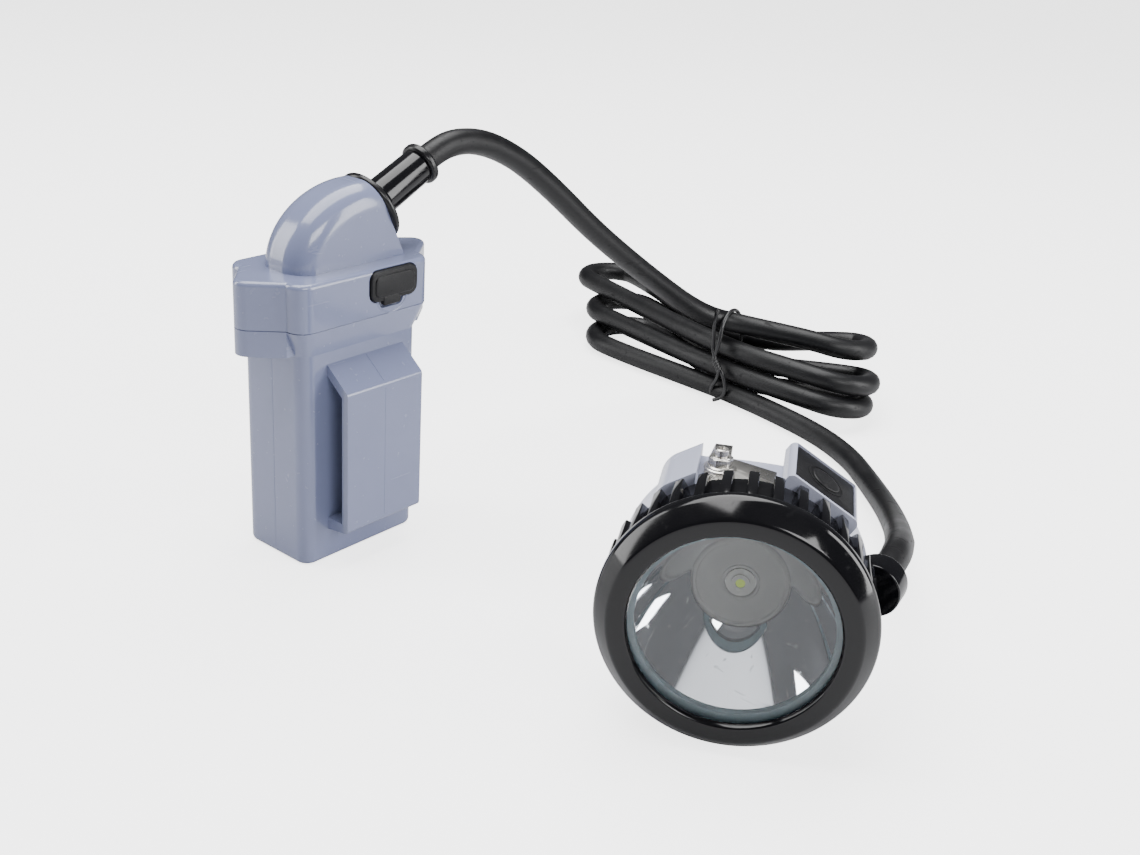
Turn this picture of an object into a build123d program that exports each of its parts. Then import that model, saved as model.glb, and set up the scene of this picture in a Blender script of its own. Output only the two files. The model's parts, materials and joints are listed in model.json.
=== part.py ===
from build123d import *
import os
from math import cos, pi, radians, sin, tan

os.makedirs("parts", exist_ok=True)


def save(name, piece):
    """Label one finished piece and write it as its own STEP file."""
    piece.part.label = name
    export_step(piece.part, f"parts/{name}.step")


# ---------------------------------------------------------------- dimensions
# Battery case, in millimetres. X runs along its broad face, Z is up.
case_w, case_d, case_r = 49.4, 30.4, 4.6
wall = 2.2
floor_t = 2.5
foot_r = 2.0
flare_z = 73.6
joint_z = 82.2
collar_w, collar_d, collar_r = 56.0, 35.6, 5.5
ear_half, ear_r = 11.5, 4.5
ear_left, ear_right = -39.4, 43.0
ear_z = 73.8
rim_z = 97.8
rim_r = 1.6
screw_left, screw_right = -32.5, 34.0

# Belt loop on the -Y face
loop_lo, loop_hi = -15.1, 17.4
loop_out = 9.7
loop_t = 2.7
loop_z0, loop_z1, loop_z2 = 12.8, 61.9, 69.6
slot_z0, slot_z1 = 15.6, 66.0
slot_z_out = 60.2

# Dome and cable gland of the battery
dome_half = 10.6
dome_mid_x, dome_long, dome_high = 9.5, 31.5, 24.8
dome_edge = 8.0
gland_tilt = 25.7
gland_x, gland_z = 17.5, 112.9
flange_r, flange_t = 12.4, 2.4
sleeve_r, sleeve_len = 6.2, 25.8
ring_r, ring_t = 7.3, 3.0
cord_d = 9.0
cord_fit = 0.15

# Charging port in the cover's front wall
port_x, port_z = 10.6, 92.0
port_w, port_h = 20.0, 10.0

# Cells
cell_r, cell_h = 9.2, 65.0
cell_gap = 0.7
cell_z = 5.2
board_z = cell_z + cell_h + 2.2
board_t = 1.2

# Lamp head: its optical axis is level, and its rim stands on the floor.
head_x, head_y = -11.6, -169.7
band_r = 38.1
head_turn = -61.0
front_r, lens_open_r = 33.6, 28.2
bevel_end, band_end, bezel_len = 5.5, 9.0, 22.7
rib_r, rib_root_r = 36.6, 34.9
rib_count = 34
thread_r = 32.4
thread_fit = 0.05
lens_r, lens_t, lens_w = 30.6, 3.0, 1.85
gasket_t = 2.5
reflector_r, reflector_base_r = 26.6, 12.9
reflector_w, led_w = 7.7, 27.0
shell_r = 35.0
shell_end = 50.0
shell_wall = 2.6
bore_front_r, bore_mid_r, bore_rear_r = 30.0, 26.4, 24.4
ledge_w = 33.6
gap = 0.35

# Shoulders on the shell, the channel between them, and the switch on the right
pad_turn = 31.2
pad_dist = 37.1
pad_half = 10.0
pad_w0, pad_w1 = 24.6, 45.4
pad_t = 1.8
button_r = 4.6
shoulder_half, shoulder_foot, shoulder_top = 11.6, 10.0, 37.5
channel_lo, channel_hi, channel_v = -15.5, 7.5, 29.0
bolt_u, bolt_w = -9.8, 37.0

# Cord grommet of the lamp head: place across, above and behind the front
grommet_u, grommet_v, grommet_w = 38.0, 4.9, 33.5
grommet_out = 18.0

# ------------------------------------------------------------------- planes
up = Vector(0, 0, 1)
forward = Vector(sin(radians(head_turn)), -cos(radians(head_turn)), 0)
across = Vector(-forward.Y, forward.X, 0)
head_c = Vector(head_x, head_y, band_r)
head = Plane(origin=head_c, x_dir=across, z_dir=forward)
head_side = Plane(origin=head_c, x_dir=across, z_dir=-up)
head_axis = Axis(head_c, forward)


def behind(w):
    """The plane across the optical axis, w behind the bezel's front."""
    return head.offset(-w)


def head_point(u, v, w):
    return head_c + across * u + up * v - forward * w


tilt = radians(gland_tilt)
gland_dir = Vector(cos(tilt), 0, sin(tilt))
gland_c = Vector(gland_x, 0, gland_z)
gland = Plane(origin=gland_c, x_dir=Vector(0, 1, 0), z_dir=gland_dir)
# The face of the dome lies one flange thickness behind the gland's centre.
seat = gland.offset(-flange_t)

pad_a = radians(pad_turn)
pad_normal = across * sin(pad_a) + up * cos(pad_a)
pad_along = across * cos(pad_a) - up * sin(pad_a)
pad_mid_w = (pad_w0 + pad_w1) / 2
pad_len = pad_w1 - pad_w0
pad_c = head_c + pad_normal * pad_dist - forward * pad_mid_w
pad = Plane(origin=pad_c, x_dir=pad_along, z_dir=pad_normal)

out_a = radians(grommet_out)
grommet_dir = across * sin(out_a) - forward * cos(out_a)
grommet_c = head_point(grommet_u, grommet_v, grommet_w)
grommet = Plane(origin=grommet_c, x_dir=up, z_dir=grommet_dir)


# ------------------------------------------------------------ battery case
def collar_outline():
    """The collar's plan: a rounded rectangle with a pointed ear on each end."""
    RectangleRounded(collar_w, collar_d, collar_r)
    for side, tip in ((-1, ear_left), (1, ear_right)):
        Polygon(
            (side * 18, -ear_half),
            (side * collar_w / 2, -ear_half),
            (tip, 0),
            (side * collar_w / 2, ear_half),
            (side * 18, ear_half),
            align=None,
        )


def ear_outline():
    """Only the two ears, as rounded triangles that reach in under the collar."""
    for side, tip in ((-1, ear_left), (1, ear_right)):
        Polygon(
            (side * (case_w / 2 - 1), -ear_half),
            (side * collar_w / 2, -ear_half),
            (tip, 0),
            (side * collar_w / 2, ear_half),
            (side * (case_w / 2 - 1), ear_half),
            align=None,
        )


def round_tips(sketch):
    fillet(sketch.vertices().filter_by(lambda v: not ear_left + 1 < v.X < ear_right - 1), ear_r)


with BuildPart() as battery_case:
    with BuildSketch(Plane.XY):
        RectangleRounded(case_w, case_d, case_r)
    extrude(amount=flare_z)
    foot = battery_case.faces().sort_by(Axis.Z)[0]
    fillet(foot.edges(), foot_r)
    with BuildSketch(Plane.XY.offset(flare_z)):
        RectangleRounded(case_w, case_d, case_r)
    with BuildSketch(Plane.XY.offset(joint_z)):
        RectangleRounded(collar_w, collar_d, collar_r)
    loft()
    with BuildSketch(Plane.XY.offset(ear_z)) as ears:
        ear_outline()
        round_tips(ears)
    extrude(amount=joint_z - ear_z)
    # Belt loop: its side profile runs along X.
    face_y = -case_d / 2
    with BuildSketch(Plane.YZ.offset(loop_lo)):
        Polygon(
            (face_y + 1, loop_z0 - 1.5),
            (face_y - loop_out, loop_z0),
            (face_y - loop_out, loop_z1),
            (face_y, loop_z2),
            (face_y + 1, loop_z2),
            align=None,
        )
    extrude(amount=loop_hi - loop_lo)
    fillet(
        battery_case.edges()
        .filter_by(Axis.X)
        .filter_by(lambda e: abs(e.center().Y - (face_y - loop_out)) < 0.1),
        1.6,
    )
    with BuildSketch(Plane.YZ.offset(loop_lo)):
        Polygon(
            (face_y, slot_z0),
            (face_y - loop_out + loop_t, slot_z0),
            (face_y - loop_out + loop_t, slot_z_out),
            (face_y, slot_z1),
            align=None,
        )
    extrude(amount=loop_hi - loop_lo, mode=Mode.SUBTRACT)
    # The cell chamber, open at the top
    with BuildSketch(Plane.XY.offset(floor_t)):
        RectangleRounded(case_w - 2 * wall, case_d - 2 * wall, case_r - wall)
    extrude(amount=joint_z - floor_t, mode=Mode.SUBTRACT)
    # Gasket groove round the mouth
    with BuildSketch(Plane.XY.offset(joint_z - 0.8)):
        RectangleRounded(case_w + 0.6, case_d + 0.6, case_r + 0.3)
        RectangleRounded(case_w - 2.2, case_d - 2.2, case_r - 1.1, mode=Mode.SUBTRACT)
    extrude(amount=0.8, mode=Mode.SUBTRACT)
    with Locations(Plane.XY.offset(ear_z)):
        with Locations((screw_left, 0), (screw_right, 0)):
            Cylinder(1.75, 8.4, align=(Align.CENTER, Align.CENTER, Align.MIN), mode=Mode.SUBTRACT)
            Cylinder(3.1, 3.2, align=(Align.CENTER, Align.CENTER, Align.MIN), mode=Mode.SUBTRACT)
save("battery_case", battery_case)

with BuildPart() as cover_gasket:
    with BuildSketch(Plane.XY.offset(joint_z - 0.8)):
        RectangleRounded(case_w + 0.6, case_d + 0.6, case_r + 0.3)
        RectangleRounded(case_w - 2.2, case_d - 2.2, case_r - 1.1, mode=Mode.SUBTRACT)
    extrude(amount=0.8)
save("cover_gasket", cover_gasket)

with BuildPart() as case_screws:
    for x in (screw_left, screw_right):
        with Locations((x, 0, ear_z + 0.4)):
            Cylinder(2.75, 2.8, align=(Align.CENTER, Align.CENTER, Align.MIN))
            Cylinder(1.45, 13.0, align=(Align.CENTER, Align.CENTER, Align.MIN))
    with BuildSketch(Plane.XY.offset(ear_z + 0.4)):
        with Locations((screw_left, 0), (screw_right, 0)):
            RegularPolygon(1.4, 6)
    extrude(amount=1.5, mode=Mode.SUBTRACT)
save("case_screws", case_screws)

# ---------------------------------------------------------------- the cover
dome_shapes = []
for inset in (0.0, wall):
    # Half an ellipse in the XZ plane, its crest rounded, cut off at the gland's seat
    with BuildPart() as dome:
        with BuildSketch(Plane.XZ.offset(-(dome_half - inset))):
            with BuildLine():
                crest = EllipticalCenterArc(
                    (dome_mid_x, rim_z), dome_long - inset, dome_high - inset, start_angle=0, arc_size=180
                )
                Polyline(
                    crest @ 1,
                    (dome_mid_x - dome_long + inset, rim_z - 6),
                    (dome_mid_x + dome_long - inset, rim_z - 6),
                    crest @ 0,
                )
            make_face()
        extrude(amount=2 * (dome_half - inset))
        fillet(dome.edges().filter_by(GeomType.ELLIPSE), dome_edge - inset)
        split(bisect_by=seat.offset(-inset), keep=Keep.BOTTOM)
    dome_shapes.append(dome.part)
dome_outside, dome_inside = dome_shapes

with BuildPart() as case_cover:
    with BuildSketch(Plane.XY.offset(joint_z)) as rim:
        collar_outline()
        round_tips(rim)
    extrude(amount=rim_z - joint_z)
    fillet(case_cover.faces().sort_by(Axis.Z)[-1].edges(), rim_r)
    add(dome_outside)
    # A fine rebate along the joint
    with BuildSketch(Plane.XY.offset(joint_z)) as joint:
        collar_outline()
        round_tips(joint)
        offset(amount=-0.35, mode=Mode.SUBTRACT)
    extrude(amount=0.3, mode=Mode.SUBTRACT)
    with BuildSketch(Plane.XY.offset(joint_z)):
        RectangleRounded(case_w - 2 * wall, case_d - 2 * wall, case_r - wall)
    extrude(amount=rim_z - joint_z - wall, mode=Mode.SUBTRACT)
    add(dome_inside, mode=Mode.SUBTRACT)
    with BuildSketch(seat):
        Circle(5.2)
    extrude(amount=-6, mode=Mode.SUBTRACT)
    # Port: a shallow recess outside, and the socket's opening through it
    front_y = -collar_d / 2
    with BuildSketch(Plane.XZ.offset(-front_y)):
        with Locations((port_x, port_z)):
            RectangleRounded(port_w + 0.8, port_h + 0.8, 3.4)
        with Locations((port_x - 1.2, port_z - port_h / 2)):
            RectangleRounded(11.0, 5.2, 2.4)
    extrude(amount=-1.6, mode=Mode.SUBTRACT)
    with BuildSketch(Plane.XZ.offset(-front_y)):
        with Locations((port_x, port_z)):
            RectangleRounded(12.6, 6.6, 2.2)
    extrude(amount=-(collar_d / 2 - 8), mode=Mode.SUBTRACT)
    with Locations(Plane.XY.offset(joint_z)):
        with Locations((screw_left, 0), (screw_right, 0)):
            Cylinder(1.45, 6.0, align=(Align.CENTER, Align.CENTER, Align.MIN), mode=Mode.SUBTRACT)
save("case_cover", case_cover)

# The plug is pushed into the socket's mouth and has a finger tab below.
with BuildPart() as port_plug:
    with BuildSketch(Plane.XZ.offset(-front_y - 1.3)):
        with Locations((port_x, port_z)):
            RectangleRounded(port_w, port_h, 3.0)
    extrude(amount=2.1)
    fillet(port_plug.faces().sort_by(Axis.Y)[0].edges(), 0.7)
    with BuildSketch(Plane.XZ.offset(-front_y - 1.0)):
        with Locations((port_x - 1.2, port_z - port_h / 2 - 0.4)):
            RectangleRounded(7.5, 2.4, 0.9)
    extrude(amount=1.5)
    with BuildSketch(Plane.XZ.offset(-front_y - 1.3)):
        with Locations((port_x, port_z)):
            RectangleRounded(11.6, 5.6, 1.8)
    extrude(amount=-3.4)
save("port_plug", port_plug)

socket_front = 5.6
with BuildPart() as charge_socket:
    with BuildSketch(Plane.XZ.offset(-front_y - socket_front)):
        with Locations((port_x, port_z)):
            RectangleRounded(11.4, 5.6, 1.6)
    extrude(amount=-8.5)
    with BuildSketch(Plane.XZ.offset(-front_y - socket_front)):
        with Locations((port_x, port_z)):
            RectangleRounded(9.0, 3.2, 1.5)
            RectangleRounded(7.0, 0.8, 0.3, mode=Mode.SUBTRACT)
    extrude(amount=-6.5, mode=Mode.SUBTRACT)
save("charge_socket", charge_socket)

socket_back = front_y + socket_front + 8.5
with BuildPart() as port_board:
    with BuildSketch(Plane.XZ.offset(-socket_back)):
        with Locations((port_x, (board_z + board_t + rim_z - wall - 0.4) / 2)):
            Rectangle(20, rim_z - wall - 0.4 - board_z - board_t)
    extrude(amount=-1.2)
save("port_board", port_board)

# ------------------------------------------------------- cells and their board
cell_x = cell_r + cell_gap / 2
for side, name in ((-1, "cell_left"), (1, "cell_right")):
    with BuildPart() as cell:
        with Locations((side * cell_x, 0, cell_z)):
            Cylinder(cell_r, cell_h - 1.2, align=(Align.CENTER, Align.CENTER, Align.MIN))
        fillet(cell.edges().filter_by(GeomType.CIRCLE), 0.6)
        with Locations((side * cell_x, 0, cell_z + cell_h - 1.2)):
            Cylinder(2.9, 1.2, align=(Align.CENTER, Align.CENTER, Align.MIN))
    save(name, cell)

strip_t = 0.3
with BuildPart() as cell_link:
    with Locations((0, 0, cell_z)):
        Box(2 * cell_x + 8, 7, strip_t, align=(Align.CENTER, Align.CENTER, Align.MAX))
save("cell_link", cell_link)

with BuildPart() as terminal_strips:
    with Locations((-cell_x, 0, cell_z + cell_h), (cell_x, 0, cell_z + cell_h)):
        Box(6, 5.5, strip_t, align=(Align.CENTER, Align.CENTER, Align.MIN))
save("terminal_strips", terminal_strips)

chamber_w = case_w - 2 * wall - 0.6
chamber_d = case_d - 2 * wall - 0.6
chamber_r = case_r - wall - 0.3
holder_lo = floor_t
with BuildPart() as cell_holder_lower:
    with BuildSketch(Plane.XY.offset(holder_lo)):
        RectangleRounded(chamber_w, chamber_d, chamber_r)
    extrude(amount=10)
    with Locations((-cell_x, 0, cell_z), (cell_x, 0, cell_z)):
        Cylinder(cell_r + 0.05, 20, align=(Align.CENTER, Align.CENTER, Align.MIN), mode=Mode.SUBTRACT)
    with Locations((0, 0, cell_z)):
        Box(2 * cell_x + 8.2, 7.2, 1.0, mode=Mode.SUBTRACT)
save("cell_holder_lower", cell_holder_lower)

with BuildPart() as cell_holder_upper:
    with BuildSketch(Plane.XY.offset(board_z - 10)):
        RectangleRounded(chamber_w, chamber_d, chamber_r)
    extrude(amount=10)
    with Locations((-cell_x, 0, cell_z + cell_h - 1.2), (cell_x, 0, cell_z + cell_h - 1.2)):
        Cylinder(cell_r + 0.05, 20, align=(Align.CENTER, Align.CENTER, Align.MAX), mode=Mode.SUBTRACT)
        Cylinder(4.3, 10, mode=Mode.SUBTRACT)
save("cell_holder_upper", cell_holder_upper)

with BuildPart() as protection_board:
    with BuildSketch(Plane.XY.offset(board_z)):
        RectangleRounded(chamber_w - 2, chamber_d - 3, 1.5)
        with Locations((-18, 8), (18, -8)):
            Circle(1.3, mode=Mode.SUBTRACT)
    extrude(amount=board_t)
save("protection_board", protection_board)

chip_places = [(-12, 4, 5.0, 4.4), (-4, 5, 4.0, 3.2), (4, 4, 6.0, 5.0), (13, 3, 5.0, 4.0), (-14, -5, 4.0, 4.0)]
with BuildPart() as board_chips:
    for x, y, w, d in chip_places:
        with Locations((x, y, board_z + board_t)):
            Box(w, d, 1.4, align=(Align.CENTER, Align.CENTER, Align.MIN))
save("board_chips", board_chips)

with BuildPart() as board_screws:
    with Locations((-18, 8, board_z + board_t), (18, -8, board_z + board_t)):
        Cylinder(2.1, 1.3, align=(Align.CENTER, Align.CENTER, Align.MIN))
        Cylinder(1.2, board_t, align=(Align.CENTER, Align.CENTER, Align.MAX))
save("board_screws", board_screws)

# A foam block keeps the board and cells from rattling under the cover.
foam_top = rim_z - wall
with BuildPart() as foam_block:
    with Locations((-13, 2.5, board_z + board_t + 1.6)):
        Box(16, 12, foam_top - board_z - board_t - 1.6, align=(Align.CENTER, Align.CENTER, Align.MIN))
save("foam_block", foam_block)

# -------------------------------------------------------------- battery gland
bore_r = cord_d / 2 + cord_fit
with BuildPart() as gland_flange:
    with BuildSketch(seat):
        Circle(flange_r)
    extrude(amount=flange_t)
    fillet(gland_flange.edges().filter_by(GeomType.CIRCLE), 0.5)
    with BuildSketch(seat):
        Circle(5.0)
    extrude(amount=-wall - 4.4)
    with BuildSketch(seat.offset(-8)):
        Circle(bore_r - 0.5)
    extrude(amount=12, mode=Mode.SUBTRACT)
save("gland_flange", gland_flange)

# Moulded sleeve with a collar at its foot and a shoulder for the end ring
with BuildPart() as gland_sleeve:
    with BuildSketch(gland):
        Circle(sleeve_r + 1.2)
    extrude(amount=1.8)
    with BuildSketch(gland.offset(1.8)):
        Circle(sleeve_r)
    extrude(amount=sleeve_len - 1.8 - ring_t)
    with BuildSketch(gland):
        Circle(bore_r)
    extrude(amount=sleeve_len, mode=Mode.SUBTRACT)
save("gland_sleeve", gland_sleeve)

with BuildPart() as gland_ring:
    with BuildSketch(gland.offset(sleeve_len - ring_t)):
        Circle(ring_r)
        Circle(bore_r, mode=Mode.SUBTRACT)
    extrude(amount=ring_t)
    fillet(gland_ring.edges().filter_by(GeomType.CIRCLE).sort_by(Axis(gland_c, gland_dir))[-1], 0.6)
save("gland_ring", gland_ring)

with BuildPart() as gland_nut:
    with BuildSketch(seat.offset(-wall)):
        RegularPolygon(7.4, 6)
        Circle(5.02, mode=Mode.SUBTRACT)
    extrude(amount=-3.0)
save("gland_nut", gland_nut)

with BuildPart() as cord_end_battery:
    with BuildSketch(gland):
        Circle(cord_d / 2)
    extrude(amount=sleeve_len)
    with BuildSketch(gland):
        Circle(3.6)
    extrude(amount=-9.5)
save("cord_end_battery", cord_end_battery)

# ------------------------------------------------------------------ lamp head
with BuildPart() as bezel:
    with BuildSketch(head_side):
        with BuildLine():
            Polyline(
                (lens_open_r, -1.2),
                (lens_open_r + 0.6, 0),
                (front_r, 0),
                (band_r - 0.5, -bevel_end + 1.0),
                (band_r, -bevel_end),
                (band_r, -band_end),
                (rib_root_r, -band_end),
                (rib_root_r, -bezel_len),
                (thread_r, -bezel_len),
                (thread_r, -lens_w - lens_t - gasket_t - 0.05),
                (lens_r + 0.1, -lens_w - lens_t - gasket_t - 0.05),
                (lens_r + 0.1, -lens_w + 0.05),
                (lens_open_r, -lens_w + 0.05),
                close=True,
            )
        make_face()
    revolve(axis=head_axis)
    # Every second groove runs out to the rear edge, the others end in a scoop.
    rib_a = 360 / rib_count
    with BuildSketch(behind(bezel_len)):
        with PolarLocations(0, rib_count, start_angle=90):
            with Locations((rib_root_r + 0.55, 0)):
                Rectangle(rib_r - rib_root_r + 0.9, 2.9)
    extrude(amount=bezel_len - band_end)
    with BuildSketch(behind(bezel_len)):
        with PolarLocations(0, rib_count // 2, start_angle=90 + rib_a / 2):
            with Locations((rib_root_r, 0)):
                Rectangle(3.6, 3.1)
    extrude(amount=2.6, mode=Mode.SUBTRACT)
save("bezel", bezel)

with BuildPart() as lens:
    with BuildSketch(behind(lens_w + lens_t)):
        Circle(lens_r)
    extrude(amount=lens_t)
    chamfer(lens.edges().filter_by(GeomType.CIRCLE), 0.4)
save("lens", lens)

with BuildPart() as lens_gasket:
    with BuildSketch(behind(lens_w + lens_t + gasket_t)):
        Circle(lens_r)
        Circle(reflector_r, mode=Mode.SUBTRACT)
    extrude(amount=gasket_t)
save("lens_gasket", lens_gasket)


def bowl_radius(t):
    """Inner radius of the reflector, from its mouth (t=0) to its base (t=1)."""
    base2 = reflector_base_r**2
    return (base2 + (reflector_r**2 - base2) * (1 - t)) ** 0.5


bowl_depth = led_w - reflector_w
bowl = [(bowl_radius(k / 8), -reflector_w - bowl_depth * k / 8) for k in range(9)]
skin = 1.2
with BuildPart() as reflector:
    with BuildSketch(head_side):
        with BuildLine():
            inside = Spline(*bowl)
            Polyline(inside @ 1, (reflector_base_r, -led_w - 1.0), (reflector_base_r + skin, -led_w - 1.0))
            outside = Spline(*[(r + skin, w) for r, w in reversed(bowl[1:])])
            Line((reflector_base_r + skin, -led_w - 1.0), outside @ 0)
            Polyline(
                outside @ 1,
                (reflector_r + 1.2, -reflector_w - 1.4),
                (31.6, -reflector_w - 1.4),
                (31.6, -reflector_w),
                inside @ 0,
            )
        make_face()
    revolve(axis=head_axis)
save("reflector", reflector)

# LED stack on the axis: matt disc, package, dome, star board, heat spreader
with BuildPart() as led_disc:
    with BuildSketch(behind(led_w + 1.0)):
        Circle(reflector_base_r - 0.05)
        Circle(4.0, mode=Mode.SUBTRACT)
    extrude(amount=0.8)
save("led_disc", led_disc)

with BuildPart() as led_board:
    with BuildSketch(behind(led_w + 2.6)):
        Circle(10.0)
        with PolarLocations(8.6, 3):
            Circle(1.1, mode=Mode.SUBTRACT)
    extrude(amount=1.6)
save("led_board", led_board)

with BuildPart() as led_package:
    with BuildSketch(behind(led_w + 1.0)):
        Circle(3.9)
    extrude(amount=0.7)
    with BuildSketch(behind(led_w + 0.3)):
        Circle(2.4)
        Circle(1.3, mode=Mode.SUBTRACT)
    extrude(amount=0.6)
save("led_package", led_package)

with BuildPart() as led_emitter:
    with BuildSketch(behind(led_w + 0.3)):
        Circle(1.25)
    extrude(amount=0.4)
save("led_emitter", led_emitter)

with BuildPart() as heat_spreader:
    with BuildSketch(behind(ledge_w)):
        Circle(bore_mid_r - 0.2)
        with PolarLocations(8.6, 3):
            Circle(0.9, mode=Mode.SUBTRACT)
        with PolarLocations(20.0, 2, start_angle=60):
            Circle(3.0, mode=Mode.SUBTRACT)
    extrude(amount=ledge_w - led_w - 2.6)
save("heat_spreader", heat_spreader)

with BuildPart() as led_screws:
    with BuildSketch(behind(led_w + 6.0)):
        with PolarLocations(8.6, 3):
            Circle(0.85)
    extrude(amount=5.0)
save("led_screws", led_screws)

# Shell: a cup behind the bezel, with two shoulders and a channel between them
face_w = bezel_len + gap + 0.3
neck_w = 9.7
box_len = shell_end - 3.0 - face_w
# Right shoulder: the switch box. Left shoulder: rounder, without a switch.
shoulders = []
for side, corner_r, rear_r in ((-1, 8.0, 4.0), (1, 2.0, 1.4)):
    along = across * cos(pad_a) - up * (side * sin(pad_a))
    with BuildPart() as shoulder:
        with BuildSketch(Plane(origin=head_c - forward * face_w, x_dir=along, z_dir=-forward)):
            with Locations((0, -(shoulder_top + shoulder_foot) / 2)):
                RectangleRounded(2 * shoulder_half, shoulder_top - shoulder_foot, corner_r)
        extrude(amount=box_len)
        fillet(shoulder.faces().sort_by(Axis(head_c, -forward))[-1].edges(), rear_r)
    shoulders.append(shoulder.part)

with BuildPart() as lamp_shell:
    with BuildSketch(head_side):
        with BuildLine():
            Polyline(
                (0, -shell_end),
                (24.0, -shell_end),
                (30.0, -shell_end + 2.5),
                (33.6, -shell_end + 7.0),
                (shell_r, -shell_end + 13.0),
                (shell_r, -face_w),
                (thread_r - thread_fit, -face_w),
                (thread_r - thread_fit, -neck_w),
                (0, -neck_w),
                close=True,
            )
        make_face()
    revolve(axis=head_axis)
    for shoulder in shoulders:
        add(shoulder)
    with BuildSketch(behind(face_w)):
        with Locations(((channel_lo + channel_hi) / 2, channel_v + 10)):
            Rectangle(channel_hi - channel_lo, 20)
    extrude(amount=-40, mode=Mode.SUBTRACT)
    # Scallop along the shell, so that the cord leaves it freely
    with BuildSketch(grommet.offset(-1.0)):
        Circle(7.0)
    extrude(amount=24, mode=Mode.SUBTRACT)
    # Inside: a bore in three steps, with the ledge of the heat spreader
    for start, end, radius in (
        (neck_w, 20.0, bore_front_r),
        (20.0, ledge_w, bore_mid_r),
        (ledge_w, shell_end - shell_wall, bore_rear_r),
    ):
        with BuildSketch(behind(end)):
            Circle(radius)
        extrude(amount=end - start, mode=Mode.SUBTRACT)
    # Seat and bore of the switch
    with BuildSketch(pad.offset(0.6)):
        Rectangle(2 * pad_half + 0.3, pad_len + 0.3)
    extrude(amount=-0.6 - pad_t, mode=Mode.SUBTRACT)
    with BuildSketch(pad):
        Circle(button_r + 0.6)
    extrude(amount=-13, mode=Mode.SUBTRACT)
    # Bores of the grommet, with its wire way inwards, and of the hook's bolt
    with BuildSketch(grommet.offset(-6.0)):
        Circle(5.5)
    extrude(amount=8, mode=Mode.SUBTRACT)
    with BuildSketch(Plane(origin=head_point(22, grommet_v, 29.0), x_dir=up, z_dir=across)):
        Circle(2.5)
    extrude(amount=14, mode=Mode.SUBTRACT)
    with BuildSketch(Plane(origin=head_point(bolt_u, 20, bolt_w), x_dir=across, z_dir=up)):
        Circle(2.05)
    extrude(amount=12, mode=Mode.SUBTRACT)
save("lamp_shell", lamp_shell)

with BuildPart() as reflector_seal:
    with BuildSketch(behind(neck_w)):
        Circle(31.6)
        Circle(bore_front_r + 0.2, mode=Mode.SUBTRACT)
    extrude(amount=neck_w - reflector_w - 1.4)
save("reflector_seal", reflector_seal)

# ------------------------------------------------------------------ the switch
with BuildPart() as switch_pad:
    with BuildSketch(pad):
        RectangleRounded(2 * pad_half, pad_len, 1.0)
        Circle(button_r + 0.4, mode=Mode.SUBTRACT)
    extrude(amount=-pad_t)
    chamfer(switch_pad.faces().sort_by(Axis(pad_c, pad_normal))[-1].outer_wire().edges(), 0.3)
save("switch_pad", switch_pad)

with BuildPart() as switch_button:
    with BuildSketch(pad.offset(-3.2)):
        Circle(button_r)
    extrude(amount=3.8)
    fillet(switch_button.faces().sort_by(Axis(pad_c, pad_normal))[-1].edges(), 0.5)
save("switch_button", switch_button)

with BuildPart() as tact_switch:
    with BuildSketch(pad.offset(-8.0)):
        Rectangle(6, 6)
    extrude(amount=3.3)
    with BuildSketch(pad.offset(-4.7)):
        Circle(1.7)
    extrude(amount=0.4)
save("tact_switch", tact_switch)

with BuildPart() as switch_board:
    with BuildSketch(pad.offset(-9.2)):
        Circle(button_r + 0.5)
    extrude(amount=1.2)
save("switch_board", switch_board)

driver_w = 43.0
with BuildPart() as driver_board:
    with BuildSketch(behind(driver_w)):
        Circle(16.0)
        with PolarLocations(13.0, 3, start_angle=30):
            Circle(1.3, mode=Mode.SUBTRACT)
    extrude(amount=1.2)
save("driver_board", driver_board)

with BuildPart() as driver_parts:
    with BuildSketch(behind(driver_w - 1.2)):
        with Locations((-6, 4)):
            Rectangle(5, 4)
        with Locations((5, 5)):
            Rectangle(4, 3)
        with Locations((-1, -6)):
            Circle(3.4)
    extrude(amount=2.4)
save("driver_parts", driver_parts)

post_w = shell_end - shell_wall
with BuildPart() as driver_posts:
    with BuildSketch(behind(post_w)):
        with PolarLocations(13.0, 3, start_angle=30):
            Circle(2.4)
    extrude(amount=post_w - driver_w)
    with BuildSketch(behind(post_w)):
        with PolarLocations(13.0, 3, start_angle=30):
            Circle(1.25)
    extrude(amount=post_w - driver_w + 1.8)
save("driver_posts", driver_posts)

# --------------------------------------------------------------- the cap hook
hook_t = 1.4
hook_mid = (channel_lo + channel_hi) / 2
hook_half = (channel_hi - channel_lo) / 2 - 0.8
hook_back = shell_end + 2.6
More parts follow.
